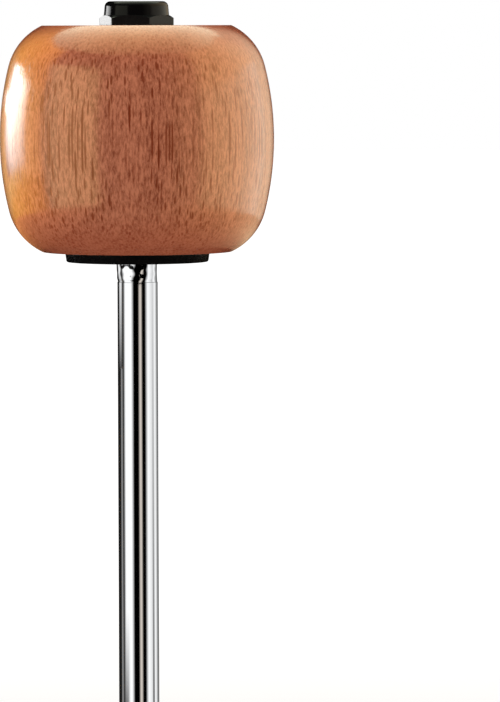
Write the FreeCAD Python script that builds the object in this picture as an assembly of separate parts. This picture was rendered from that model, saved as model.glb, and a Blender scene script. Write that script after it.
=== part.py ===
import FreeCAD, Part
import math
import os

# Bass drum beater: a turned hardwood head that a lock nut clamps on a chromed steel shaft.
# The shaft stands along +Z with its free end at the origin, and carries the head at its top.
# The front of the beater looks along -Y. Lengths are in millimetres, angles in degrees.

# Shaft: a plain rod, swaged into ears under the head, with a spigot through the head above them
SHAFT_DIAMETER = 8.0
SHAFT_REACH = 164.0             # from the free end to the top of the ears
SHAFT_END_CHAMFER = 0.4
SPIGOT_STEP = 0.05              # the spigot's surface lies this far inside the rod's
TIP_SUNK = 0.2                  # the shaft's tip lies this far below the lock nut's top
TIP_CHAMFER = 0.8

# Swage: the press squeezes the rod between jaws, so dents and ears take turns around it
SWAGE_LENGTH = 4.0
SWAGE_STEP = 0.1                # the swage starts this far inside the rod's surface
SWAGE_STEP_CHAMFER = 0.05
EAR_COUNT = 3
EAR_HEIGHT = 0.2                # above the rod's surface
DENT_DEPTH = 0.2                # below the rod's surface
EAR_TURN_ANGLE = 40.0           # from the front to the first ear, towards the right
SWAGE_RISE_SHARES = (0.0, 0.55, 0.7, 0.85, 1.0)
POINTS_PER_EAR = 8

# Thread of the shaft's top end and the lock nut, right-handed, on the basic metric profile
THREAD_PITCH = 1.25
THREAD_RUN = 8.0                # how far the thread goes on below the lock nut
THREAD_CLEARANCE = 0.1          # between the flanks, and between crests and roots
THREAD_FLANK_ANGLE = 30.0
ROOT_FLAT_SHARE = 1 / 4
CREST_FLAT_SHARE = 1 / 8
GROOVE_OVERRUN_SHARE = 0.4      # of the room that the crest leaves to a cut past it

# Head: a barrel with flat ends, whose side and shoulders are two tangent arcs
HEAD_DIAMETER = 54.3
HEAD_HEIGHT = 44.75
HEAD_SIDE_RADIUS = 59.0
HEAD_SHOULDER_RADIUS = 12.2
HEAD_FACE_INSET = 8.4           # from the widest part inwards to the edge of the flat ends
HEAD_EDGE_RADIUS = 0.5
HEAD_BORE_CLEARANCE = 0.08
HEAD_BORE_CHAMFER = 0.5
RECESS_CHAMFER = 0.5
RECESS_CLEARANCE = 1.5          # around the top washer

# Support washer: a moulded disc with drafted sides that rests on the ears and carries the head
SUPPORT_DIAMETER = 28.8
SUPPORT_THICKNESS = 2.0
SUPPORT_DRAFT = 0.3             # the lower edge lies this far inside the upper one
SUPPORT_EDGE_RADIUS = 0.3
SUPPORT_BORE_CLEARANCE = 0.08

# Top washer: a stamped flat washer under the lock nut, at the bottom of the head's recess
TOP_WASHER_RIM = 0.5            # past the corners of the lock nut
TOP_WASHER_THICKNESS = 1.6
TOP_WASHER_EDGE_RADIUS = 0.25
TOP_WASHER_BORE_CLEARANCE = 0.25

# Lock nut: a hexagon with a round collar above it, whose curled lip holds a nylon ring
NUT_WALL = 2.5                  # from the shaft's surface to the hexagon's flats
NUT_HEIGHT = 8.0
NUT_SUNK = 3.25                 # how far the nut's seat lies below the head's top face
NUT_TURN_ANGLE = -10.5          # from the front to the nearest flat, towards the right
NUT_CHAMFER_ANGLE = 30.0
NUT_CHAMFER_INSET = 0.3         # the chamfer's circle lies this far inside the flats
NUT_MOUTH_CHAMFER = 0.3         # at the lower end of the thread
COLLAR_HEIGHT = 2.6
COLLAR_INSET = 0.1              # the collar lies this far inside the flats
COLLAR_WALL = 1.0
COLLAR_RIM_RADIUS = 1.1
LIP_THICKNESS = 0.7
LIP_REACH = 0.5                 # the curled lip covers this much of the ring's top
RING_HEIGHT = 2.2
RING_CLEARANCE = 0.05           # around the ring, and above it
RING_BORE_CLEARANCE = 0.1       # over the thread's crest

HEX_SIDES = 6
CUT_OVERRUN = 1.0               # how far a cutting solid passes the face it leaves through
MATCH_TOLERANCE = 1e-6          # for finding an edge by its radius and its height

AXIS = FreeCAD.Vector(0, 0, 1)

# The thread's groove: its flanks rise from the root flat until only the crest flat is left
root_flat = ROOT_FLAT_SHARE * THREAD_PITCH
crest_flat = CREST_FLAT_SHARE * THREAD_PITCH
flank_slope = math.tan(math.radians(THREAD_FLANK_ANGLE))
flank_cosine = math.cos(math.radians(THREAD_FLANK_ANGLE))
thread_depth = (THREAD_PITCH - root_flat - crest_flat) / (2 * flank_slope)
groove_overrun = GROOVE_OVERRUN_SHARE * crest_flat / (2 * flank_slope)

# Radii around the shaft, from the inside outwards
shaft_radius = SHAFT_DIAMETER / 2
crest_radius = shaft_radius - SPIGOT_STEP
root_radius = crest_radius - thread_depth
flat_radius = shaft_radius + NUT_WALL
corner_radius = flat_radius / math.cos(math.pi / HEX_SIDES)
collar_radius = flat_radius - COLLAR_INSET
pocket_radius = collar_radius - COLLAR_WALL
top_washer_radius = corner_radius + TOP_WASHER_RIM
recess_radius = top_washer_radius + RECESS_CLEARANCE
head_radius = HEAD_DIAMETER / 2
face_radius = head_radius - HEAD_FACE_INSET

# Heights of the stack on the ears, from the bottom upwards
head_bottom = SHAFT_REACH + SUPPORT_THICKNESS
head_top = head_bottom + HEAD_HEIGHT
nut_seat = head_top - NUT_SUNK
recess_floor = nut_seat - TOP_WASHER_THICKNESS
nut_top = nut_seat + NUT_HEIGHT
hex_top = nut_top - COLLAR_HEIGHT
pocket_top = nut_top - LIP_THICKNESS
pocket_floor = pocket_top - RING_CLEARANCE - RING_HEIGHT
shaft_top = nut_top - TIP_SUNK
thread_bottom = nut_seat - THREAD_RUN


def point(radius, height):
    """A point of a turned outline, in the plane that the outline is drawn in."""
    return FreeCAD.Vector(radius, 0, height)


def turned(edges):
    """A solid of revolution about the shaft's axis from the edges of a closed outline."""
    outline = Part.Face(Part.Wire(edges))
    return outline.revolve(FreeCAD.Vector(0, 0, 0), AXIS)


def turned_polygon(corners):
    """A solid of revolution about the shaft's axis from the corners of its outline."""
    return turned(Part.makePolygon(corners + corners[:1]).Edges)


def cylinder(radius, bottom, top):
    """A round bar on the shaft's axis."""
    return Part.makeCylinder(radius, top - bottom, point(0, bottom), AXIS)


def round_edges(solid, edge_radius, radius, height):
    """The solid with a fillet on its round edge of this radius at this height."""
    middle = FreeCAD.Vector(0, 0, height)
    edges = [
        edge for edge in solid.Edges
        if isinstance(edge.Curve, Part.Circle)
        and math.isclose(edge.Curve.Radius, radius, abs_tol=MATCH_TOLERANCE)
        and edge.Curve.Center.isEqual(middle, MATCH_TOLERANCE)
    ]
    return solid.makeFillet(edge_radius, edges)


def thread_groove(inner_radius, inner_width, outer_radius, outer_width, bottom, top):
    """A helical bar with a trapezium section, which cuts one thread between two heights."""
    corners = [
        point(inner_radius, bottom - inner_width / 2),
        point(outer_radius, bottom - outer_width / 2),
        point(outer_radius, bottom + outer_width / 2),
        point(inner_radius, bottom + inner_width / 2),
    ]
    section = Part.makePolygon(corners + corners[:1])
    taper = 0
    helix = Part.makeLongHelix(THREAD_PITCH, top - bottom, inner_radius, taper)
    helix.translate(FreeCAD.Vector(0, 0, bottom))
    return Part.Wire(helix.Edges).makePipeShell([section], True, True)


def shaft_groove():
    """The groove of the shaft's thread, from its run-out in the head to past the tip."""
    outer_radius = crest_radius + groove_overrun
    outer_width = root_flat + 2 * (outer_radius - root_radius) * flank_slope
    return thread_groove(
        root_radius, root_flat, outer_radius, outer_width, thread_bottom, shaft_top + THREAD_PITCH
    )


def nut_groove():
    """The groove of the nut's thread: the shaft's ridge, larger by the clearance all round."""
    start = thread_bottom + THREAD_PITCH / 2
    turns_up = math.floor((nut_seat - start) / THREAD_PITCH) - 1
    bottom = start + turns_up * THREAD_PITCH
    play = 2 * THREAD_CLEARANCE / flank_cosine
    inner_radius = root_radius + THREAD_CLEARANCE - groove_overrun
    outer_radius = crest_radius + THREAD_CLEARANCE

    def ridge_width(radius):
        return THREAD_PITCH - root_flat - 2 * (radius - root_radius) * flank_slope

    return thread_groove(
        inner_radius, ridge_width(inner_radius) + play,
        outer_radius, ridge_width(outer_radius) + play,
        bottom, pocket_floor + THREAD_PITCH,
    )


def swage_section(share, height):
    """The closed outline of the swage at one height, from a circle to dents and ears."""
    start_radius = shaft_radius - SWAGE_STEP
    ear_radius = start_radius + share * (SWAGE_STEP + EAR_HEIGHT)
    dent_radius = start_radius - share * (DENT_DEPTH - SWAGE_STEP)
    first_ear = math.radians(EAR_TURN_ANGLE) - math.pi / 2
    count = EAR_COUNT * POINTS_PER_EAR
    points = []
    for index in range(count):
        angle = 2 * math.pi * index / count
        swing = math.cos(EAR_COUNT * angle)
        radius = (ear_radius + dent_radius) / 2 + swing * (ear_radius - dent_radius) / 2
        turned_angle = first_ear + angle
        points.append(
            FreeCAD.Vector(radius * math.cos(turned_angle), radius * math.sin(turned_angle), height)
        )
    curve = Part.BSplineCurve()
    curve.interpolate(Points=points, PeriodicFlag=True)
    return Part.Wire(curve.toShape())


def make_shaft():
    """The chromed rod with its swaged ears, its spigot and its threaded tip, in one piece."""
    swage_bottom = SHAFT_REACH - SWAGE_LENGTH
    rod = turned_polygon([
        point(0, 0),
        point(shaft_radius - SHAFT_END_CHAMFER, 0),
        point(shaft_radius, SHAFT_END_CHAMFER),
        point(shaft_radius, swage_bottom - SWAGE_STEP_CHAMFER),
        point(shaft_radius - SWAGE_STEP_CHAMFER, swage_bottom),
        point(0, swage_bottom),
    ])
    spigot = turned_polygon([
        point(0, SHAFT_REACH),
        point(crest_radius, SHAFT_REACH),
        point(crest_radius, shaft_top - TIP_CHAMFER),
        point(crest_radius - TIP_CHAMFER, shaft_top),
        point(0, shaft_top),
    ])
    step = SWAGE_LENGTH / (len(SWAGE_RISE_SHARES) - 1)
    sections = [
        swage_section(share, swage_bottom + index * step)
        for index, share in enumerate(SWAGE_RISE_SHARES)
    ]
    swage = Part.makeLoft(sections, True, False)
    return rod.fuse([swage, spigot]).cut(shaft_groove())


def make_head():
    """The turned wooden barrel, bored for the spigot and recessed for the nut and its washer."""
    middle = (head_bottom + head_top) / 2
    half_height = HEAD_HEIGHT / 2
    bore_radius = crest_radius + HEAD_BORE_CLEARANCE

    # The shoulder's centre lies on a circle about the side's centre and on one about the face edge
    side_centre = head_radius - HEAD_SIDE_RADIUS
    reach = math.hypot(half_height, face_radius - side_centre)
    centre_reach = HEAD_SIDE_RADIUS - HEAD_SHOULDER_RADIUS
    along = (centre_reach ** 2 - HEAD_SHOULDER_RADIUS ** 2 + reach ** 2) / (2 * reach)
    edge_angle = math.atan2(half_height, face_radius - side_centre)
    tangent_angle = edge_angle - math.acos(along / centre_reach)
    shoulder_radius = side_centre + centre_reach * math.cos(tangent_angle)
    shoulder_height = centre_reach * math.sin(tangent_angle)
    face_angle = math.atan2(half_height - shoulder_height, face_radius - shoulder_radius)

    def side_point(angle):
        return point(
            side_centre + HEAD_SIDE_RADIUS * math.cos(angle),
            middle + HEAD_SIDE_RADIUS * math.sin(angle),
        )

    def shoulder_point(angle, side):
        return point(
            shoulder_radius + HEAD_SHOULDER_RADIUS * math.cos(angle),
            middle + side * (shoulder_height + HEAD_SHOULDER_RADIUS * math.sin(angle)),
        )

    shoulder_middle = (tangent_angle + face_angle) / 2
    lower_edge = point(face_radius, head_bottom)
    upper_edge = point(face_radius, head_top)
    inside = [
        upper_edge,
        point(recess_radius + RECESS_CHAMFER, head_top),
        point(recess_radius, head_top - RECESS_CHAMFER),
        point(recess_radius, recess_floor),
        point(bore_radius + HEAD_BORE_CHAMFER, recess_floor),
        point(bore_radius, recess_floor - HEAD_BORE_CHAMFER),
        point(bore_radius, head_bottom + HEAD_BORE_CHAMFER),
        point(bore_radius + HEAD_BORE_CHAMFER, head_bottom),
        lower_edge,
    ]
    outside = [
        Part.Arc(lower_edge, shoulder_point(shoulder_middle, -1), side_point(-tangent_angle)),
        Part.Arc(side_point(-tangent_angle), side_point(0), side_point(tangent_angle)),
        Part.Arc(side_point(tangent_angle), shoulder_point(shoulder_middle, 1), upper_edge),
    ]
    head = turned([arc.toShape() for arc in outside] + Part.makePolygon(inside).Edges)
    head = round_edges(head, HEAD_EDGE_RADIUS, face_radius, head_bottom)
    return round_edges(head, HEAD_EDGE_RADIUS, face_radius, head_top)


def make_support_washer():
    """The moulded disc between the ears and the head, wider at the top by its draft."""
    bore_radius = crest_radius + SUPPORT_BORE_CLEARANCE
    upper_radius = SUPPORT_DIAMETER / 2
    lower_radius = upper_radius - SUPPORT_DRAFT
    disc = turned_polygon([
        point(bore_radius, SHAFT_REACH),
        point(lower_radius, SHAFT_REACH),
        point(upper_radius, head_bottom),
        point(bore_radius, head_bottom),
    ])
    disc = round_edges(disc, SUPPORT_EDGE_RADIUS, lower_radius, SHAFT_REACH)
    return round_edges(disc, SUPPORT_EDGE_RADIUS, upper_radius, head_bottom)


def make_top_washer():
    """The flat washer under the nut. Stamping leaves its upper rim rounded."""
    bore_radius = crest_radius + TOP_WASHER_BORE_CLEARANCE
    disc = cylinder(top_washer_radius, recess_floor, nut_seat)
    disc = disc.cut(cylinder(bore_radius, recess_floor - CUT_OVERRUN, nut_seat + CUT_OVERRUN))
    return round_edges(disc, TOP_WASHER_EDGE_RADIUS, top_washer_radius, nut_seat)


def make_lock_nut():
    """The hexagon with chamfered corners, its collar, its thread and the pocket of the ring."""
    corners = []
    for side in range(HEX_SIDES):
        angle = math.radians(NUT_TURN_ANGLE) - math.pi / 2 + (2 * side + 1) * math.pi / HEX_SIDES
        corners.append(
            FreeCAD.Vector(corner_radius * math.cos(angle), corner_radius * math.sin(angle), nut_seat)
        )
    hexagon = Part.Face(Part.makePolygon(corners + corners[:1]))
    hexagon = hexagon.extrude(AXIS * (hex_top - nut_seat))

    chamfer_radius = flat_radius - NUT_CHAMFER_INSET
    blank_radius = corner_radius + CUT_OVERRUN
    chamfer_drop = (blank_radius - chamfer_radius) * math.tan(math.radians(NUT_CHAMFER_ANGLE))
    blank = turned_polygon([
        point(0, nut_seat),
        point(chamfer_radius, nut_seat),
        point(blank_radius, nut_seat + chamfer_drop),
        point(blank_radius, hex_top - chamfer_drop),
        point(chamfer_radius, hex_top),
        point(0, hex_top),
    ])
    collar = cylinder(collar_radius, pocket_floor, nut_top)
    collar = round_edges(collar, COLLAR_RIM_RADIUS, collar_radius, nut_top)

    minor_radius = root_radius + THREAD_CLEARANCE
    mouth_radius = crest_radius + THREAD_CLEARANCE + NUT_MOUTH_CHAMFER
    mouth_top = nut_seat + mouth_radius - minor_radius
    inside = turned_polygon([
        point(0, nut_seat - CUT_OVERRUN),
        point(mouth_radius, nut_seat - CUT_OVERRUN),
        point(mouth_radius, nut_seat),
        point(minor_radius, mouth_top),
        point(minor_radius, pocket_floor),
        point(pocket_radius, pocket_floor),
        point(pocket_radius, pocket_top),
        point(pocket_radius - LIP_REACH, pocket_top),
        point(pocket_radius - LIP_REACH, nut_top + CUT_OVERRUN),
        point(0, nut_top + CUT_OVERRUN),
    ])
    return hexagon.common(blank).fuse(collar).cut(inside).cut(nut_groove())


def make_lock_nut_ring():
    """The nylon ring in the collar's pocket, which grips the thread and locks the nut."""
    ring_top = pocket_floor + RING_HEIGHT
    ring = cylinder(pocket_radius - RING_CLEARANCE, pocket_floor, ring_top)
    bore_radius = crest_radius + RING_BORE_CLEARANCE
    return ring.cut(cylinder(bore_radius, pocket_floor - CUT_OVERRUN, ring_top + CUT_OVERRUN))


PIECES = {
    "shaft": make_shaft,
    "support_washer": make_support_washer,
    "beater_head": make_head,
    "top_washer": make_top_washer,
    "lock_nut": make_lock_nut,
    "lock_nut_ring": make_lock_nut_ring,
}

os.makedirs("parts", exist_ok=True)
for name, make_piece in PIECES.items():
    make_piece().exportStep(os.path.join("parts", name + ".step"))
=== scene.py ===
"""The looks of a wooden bass drum beater, built around its fixed frame."""

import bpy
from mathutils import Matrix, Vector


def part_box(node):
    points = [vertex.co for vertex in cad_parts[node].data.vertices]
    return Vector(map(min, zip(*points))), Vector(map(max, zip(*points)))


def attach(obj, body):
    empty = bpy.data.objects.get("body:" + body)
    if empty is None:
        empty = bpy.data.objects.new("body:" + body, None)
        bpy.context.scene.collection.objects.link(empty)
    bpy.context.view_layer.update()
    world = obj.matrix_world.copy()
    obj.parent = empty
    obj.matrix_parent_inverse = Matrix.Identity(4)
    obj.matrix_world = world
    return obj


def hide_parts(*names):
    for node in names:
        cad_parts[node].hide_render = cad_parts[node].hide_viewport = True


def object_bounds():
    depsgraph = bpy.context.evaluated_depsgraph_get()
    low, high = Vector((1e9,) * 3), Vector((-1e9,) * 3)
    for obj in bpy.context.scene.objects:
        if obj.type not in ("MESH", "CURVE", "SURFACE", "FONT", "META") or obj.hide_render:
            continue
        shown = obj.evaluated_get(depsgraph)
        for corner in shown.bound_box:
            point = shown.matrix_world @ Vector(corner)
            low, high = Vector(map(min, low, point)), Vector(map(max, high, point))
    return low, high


bl_info = {
    "name": "Bass drum beater",
    "version": (1, 0, 0),
    "blender": (4, 5, 0),
    "location": "View3D > Sidebar > Beater",
    "description": "Builds the finished pieces of a wooden bass drum beater, with a studio and a camera",
    "category": "Object",
}

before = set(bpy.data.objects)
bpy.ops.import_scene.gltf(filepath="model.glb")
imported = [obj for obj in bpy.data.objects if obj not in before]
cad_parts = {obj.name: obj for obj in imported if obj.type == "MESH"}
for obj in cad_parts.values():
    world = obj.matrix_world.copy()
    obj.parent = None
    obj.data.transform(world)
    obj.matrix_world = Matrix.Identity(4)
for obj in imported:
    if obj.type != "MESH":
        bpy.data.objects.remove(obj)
CAD_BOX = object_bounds()

import math

import bmesh
import bpy
from bpy.props import FloatProperty, FloatVectorProperty, IntProperty, PointerProperty
from mathutils import Vector


def linear(hex_colour):
    """The linear colour of an sRGB hex value such as #A5553C, by the standard's own numbers."""
    def channel(start):
        value = int(hex_colour[start:start + 2], 16) / 255
        return value / 12.92 if value <= 0.04045 else ((value + 0.055) / 1.055) ** 2.4
    return tuple(channel(start) for start in (1, 3, 5))


MM = 0.001
FULL_TURN = 2 * math.pi
QUARTER_TURN = math.pi / 2

# How finely round forms are divided
HEAD_COLUMNS = 256
SHAFT_COLUMNS = 192
WASHER_COLUMNS = 192
ARC_STEPS = 8
LONG_ARC_STEPS = 32
NUT_FLAT_STEPS = 12
NUT_CORNER_SHARES = (-1, -0.6, -0.2, 0.2, 0.6, 1)
MERGE_DISTANCE = 0.0001 * MM
SHARP_ANGLE = math.radians(28)

# The basic metric thread, in shares of its pitch, and the slope of its flanks
THREAD_DEPTH_SHARE = 5 / 16 * math.sqrt(3)
ROOT_FLAT_SHARE = 1 / 4
CREST_FLAT_SHARE = 1 / 8
THREAD_FLANK = math.radians(30)

HEXAGON_SIDES = 6

# Press marks as two sets of waves: share of the depth, then rate and start around the swage and along it
MARK_WAVES = ((1, 6, 2, 9, 0.7), (0.8, 11, 0.5, 14, 2.1))

# Sockets of a Mix node that blends two colours
FACTOR = 0
FIRST = 6
SECOND = 7
BLEND = 2

# Tints of the studio's light
WHITE = linear("#FFFFFF")
CREAM = linear("#FFFFE7")
WARM_WHITE = linear("#FFF8E3")
BEIGE = linear("#FFF3E7")
CEILING_TINT = linear("#F7FFE7")
STRAW = linear("#FFEAC8")
HONEY = linear("#FFEAC4")
AMBER = linear("#FFD07C")
DEEP_AMBER = linear("#FFBC50")
RIGHT_LAMP_TINT = linear("#FFEDD3")
TOP_LAMP_TINT = linear("#FFF3E1")

# The studio: distances from the beater's axis and heights above its foot in metres, azimuths in degrees
FLOOR_RADIUS = 8
FLOOR_SEGMENTS = 96
FLOOR_GAP = 0.1 * MM
VIEW_LIMIT = 30
LAMP_DISTANCE = 0.6
LAMP_HEIGHT = 0.3
LAMP_SIZE = (0.5, 0.6)
LEFT_LAMP_AZIMUTH = -52
RIGHT_LAMP_AZIMUTH = 72
TOP_LAMP_PLACE = Vector((-0.1, -0.05, 0.6))
TOP_LAMP_SIZE = (0.6, 0.6)
CARD_STEP = 4

# Cards around the head. A card's stops are an azimuth and the level there, or the levels at foot and top.
STUDIO_TOP = 0.5
BOARD_DISTANCE = 0.27
LEFT_BOARD = ((-84, 1.6), (-74, 3.4), (-36, 2.8), (-32, 2.8))
LEFT_BOARD_LOW = 0.03
LEFT_BOARD_HIGH = 0.32
RIGHT_BOARD = (
    (22, 0), (40, 1.1), (49, 1), (58, 3.4), (64, 4.2), (85, 4.8), (105, 4.7), (124, 3.5), (132, 2.7),
)
BACK_BOARD = ((132, 2.7), (150, 1.4), (158, 0.5), (162, 0), (278, 0))
BACK_DISTANCE = 0.33
LEFT_GLOW = ((-166, 0), (-152, 0.9), (-134, 3), (-110, 5), (-96, 5), (-88, 4.4), (-78, 0))
GLOW_DISTANCE = 0.315
SIDE_LOW = 0.13
SIDE_HIGH = 0.27
FLOOR_LEVEL_SHARE = 0.6
RIM_BOARD = ((-141, 0), (-136, 0, 11), (-130, 3, 18), (-113, 4.5, 18), (-105, 4, 8))
RIM_DISTANCE = 0.3
RIM_LOW = 0.15
RIM_HIGH = 0.258
NUT_BOARD = ((-147, 0), (-142, 14), (-138, 14), (-133, 0))
NUT_BOARD_DISTANCE = 0.29
NUT_BOARD_DROP = 10 * MM
NUT_BOARD_RISE = 2 * MM

# The board above: places to the right and to the back, each with its level
CEILING_ACROSS = ((-0.5, 0.2), (-0.15, 0.87), (0, 1.06), (0.15, 0.85), (0.5, 0.8))
CEILING_ALONG = ((-0.42, 0), (0.08, 5.9), (0.42, 6.1))
CEILING_RISE = 0.4

# Cards around the shaft, close in, so that they don't show in the head
SHAFT_DISTANCE = 0.05
SHAFT_BACK = (
    (-180, 0.8), (-172, 0.8), (-164, 0.02), (-125, 0.01), (-114, 0.02), (-107, 0.32), (-99, 0.28),
    (-93, 0.03), (-86, 0.06),
)
SHAFT_LEFT = ((-86, 0.06), (-73, 1.3), (-38, 1.3), (-23, 0))
SHAFT_LEFT_FADE = ((-86, 0.06), (-73, 0, 1.3), (-62, 0.1, 1.3), (-48, 1.3), (-38, 1.3), (-23, 0))
LEFT_FADE_LOW = 0.066
LEFT_FADE_HIGH = 0.09
SHAFT_BEIGE = ((2, 0), (11, 0.8), (16, 0.8), (25, 0), (28, 0))
BEIGE_DROP = 6.5 * MM
SHAFT_RIGHT = (
    (28, 0), (40, 0), (57, 1.3), (80, 1), (88, 0.05, 0.9), (94, 0.05, 0.9), (102, 1.1), (111, 1.2),
    (131, 0.3), (164, 0.05), (172, 0.8), (180, 0.8),
)
RIGHT_FOOT_HIGH = 0.06
SHAFT_GLINT = ((-130, 0, 0.1), (-117, 0.1, 1.3), (-106, 0.1, 1.3), (-95, 0, 0.1))
GLINT_DISTANCE = 0.049
GLINT_LOW = 0.14
FOOT_RING_INNER = 0.008
FOOT_RING_LIFT = 0.2 * MM

# Cards under the head: their side, turn, level at each ring, sharpness and tint
UNDER_CARDS = {
    "under_right": (1, 12, (0.25, 2.0, 3.0), 3, linear("#FFE1B3")),
    "under_left": (-1, 0, (0.1, 0.9, 2.8), 2.5, linear("#FFAA61")),
}
UNDER_RINGS = (0.02, 0.029, 0.0505)
UNDER_SWEEP = 180
UNDER_STEP = 12
LID = ((0, 0), (360, 0))
LID_INNER = 0.013
LID_DROP = 0.1 * MM


def node_radius(node):
    """The radius of a round CAD node, from the side of its box that is nearest to the axis."""
    low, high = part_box(node)
    return min(high.x, high.y, -low.x, -low.y)


def node_heights(node):
    """The lowest and the highest point of a CAD node."""
    low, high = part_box(node)
    return low.z, high.z


def size(name, description, millimetres):
    """A length that a user may change, with its default in millimetres."""
    return FloatProperty(
        name=name, description=description, default=millimetres * MM, min=0, precision=5, unit="LENGTH"
    )


def turn(name, description, degrees):
    """An angle that a user may change, with its default in degrees."""
    return FloatProperty(
        name=name, description=description, default=math.radians(degrees), subtype="ANGLE"
    )


def colour(name, description, hex_colour):
    """A colour that a user may change, with its default as an sRGB hex value."""
    return FloatVectorProperty(
        name=name, description=description, default=linear(hex_colour), min=0, max=1, subtype="COLOR"
    )


class HeadProperties(bpy.types.PropertyGroup):
    """Sizes and colours of the turned head."""
    side_radius: size("Side radius", "Arc of the barrel's side", 59.0)
    shoulder_radius: size("Shoulder radius", "Arc from the side to the flat ends", 12.2)
    face_inset: size("Face inset", "From the widest part inwards to the edge of the flat ends", 8.4)
    edge_radius: size("Edge radius", "Rounding where the shoulders meet the flat ends", 0.5)
    bore_clearance: size("Bore clearance", "Between the spigot and the bore", 0.08)
    recess_clearance: size("Recess clearance", "Between the top washer and the recess", 1.5)
    mouth_radius: size("Mouth radius", "Rounding at the mouths of bore and recess", 0.4)
    pale_wood: colour("Pale wood", "The lighter fibres, under stain and lacquer", "#C1775A")
    dark_wood: colour("Dark wood", "The darker fibres, under stain and lacquer", "#82432F")
    pores: colour("Pores", "The open vessels of the wood", "#702610")
    end_grain: colour("End grain", "Where the stain soaked in, across the grain", "#A8543B")
    lacquer: colour("Lacquer", "The amber tint of the lacquer's reflections", "#FFDBA0")
    ring_spacing: size("Ring spacing", "Between two growth rings", 5.5)
    ring_drift_width: size("Ring drift width", "Across the grain, of a growth ring's wandering", 14.0)
    ring_drift_length: size("Ring drift length", "Along the grain, of a growth ring's wandering", 120.0)
    pith_right: size("Pith right", "From the axis to the right, to the middle of the tree", 62.0)
    pith_behind: size("Pith behind", "From the axis to the back, to the middle of the tree", 28.0)
    streak_width: size("Streak width", "Width of the broad streaks along the grain", 4.0)
    streak_length: size("Streak length", "Length of the broad streaks along the grain", 90.0)
    fibre_width: size("Fibre width", "Width of the fine streaks along the grain", 0.45)
    fibre_length: size("Fibre length", "Length of the fine streaks along the grain", 1.6)
    vessel_spacing: size("Vessel spacing", "Between two vessels, across the grain", 0.65)
    vessel_length: size("Vessel length", "Between two vessels, along the grain", 28.0)
    vessel_bore: size("Vessel bore", "Width of the widest vessels", 0.62)
    vessel_dip: size("Vessel dip", "How far the lacquer sinks into the vessels", 0.05)
    crowd_width: size("Crowd width", "Across the grain, of the patches where vessels crowd", 6.0)
    crowd_length: size("Crowd length", "Along the grain, of the patches where vessels crowd", 18.0)


class ShaftProperties(bpy.types.PropertyGroup):
    """Sizes and colours of the chromed shaft."""
    diameter: size("Diameter", "Of the plain rod", 8.0)
    end_chamfer: size("End chamfer", "At the free end", 0.4)
    spigot_step: size("Spigot step", "From the rod's surface inwards to the spigot's", 0.05)
    tip_chamfer: size("Tip chamfer", "At the threaded end", 0.8)
    swage_length: size("Swage length", "Of the pressed stretch under the washer", 4.0)
    swage_step: size("Swage step", "From the rod's surface inwards to the start of the swage", 0.1)
    swage_start: size("Swage start", "Length over which the jaws' rounded ends pressed", 0.8)
    swage_press: FloatProperty(
        name="Swage press", description="Share of the full depth that the swage has after its start",
        default=0.4, min=0, max=1, subtype="FACTOR",
    )
    step_chamfer: size("Step chamfer", "At the start of the swage", 0.05)
    ear_height: size("Ear height", "Of the pressed ears above the rod's surface", 0.2)
    dent_depth: size("Dent depth", "Of the dents between the ears", 0.2)
    mark_depth: size("Mark depth", "Of the marks that the press jaws leave", 0.015)
    dimple_depth: size("Dimple depth", "Of the deepest press mark, at the top of the swage", 0.09)
    dimple_width: size("Dimple width", "Of the deepest press mark, from its middle sideways", 1.4)
    dimple_height: size("Dimple height", "Of the deepest press mark, from its middle downwards", 1.25)
    dimple_turn: turn("Dimple turn", "From the front to the deepest press mark, towards the right", -42.0)
    ear_count: IntProperty(name="Ears", description="Number of pressed ears", default=3, min=2)
    ear_turn: turn("Ear turn", "From the front to the first ear, towards the right", 40.0)
    thread_pitch: size("Thread pitch", "Rise of the thread in one turn", 1.25)
    thread_run: size("Thread run", "From the nut's seat down to the end of the thread", 8.0)
    chrome: colour("Chrome", "The plated surface", "#E2E3E4")
    polish_width: size("Polish width", "Of the polishing lines", 0.4)
    polish_length: size("Polish length", "Of the polishing lines", 25.0)
    polish_depth: size("Polish depth", "Of the polishing lines", 0.01)


class WasherProperties(bpy.types.PropertyGroup):
    """Sizes and colours of the two washers."""
    support_draft: size("Draft", "The support washer's lower edge lies this far inside its upper one", 0.3)
    support_edge: size("Support edge", "Rounding of the support washer's edges", 0.3)
    support_clearance: size("Support clearance", "Between the spigot and the support washer", 0.08)
    top_edge: size("Top washer edge", "Rounding that stamping leaves on the top washer's rim", 0.25)
    top_clearance: size("Top washer clearance", "Between the spigot and the top washer", 0.25)
    nylon: colour("Black nylon", "The moulded support washer", "#0C0C0D")
    peel_size: size("Peel size", "Of the ripples that moulding leaves", 0.8)
    peel_depth: size("Peel depth", "Of the ripples that moulding leaves", 0.02)


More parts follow.
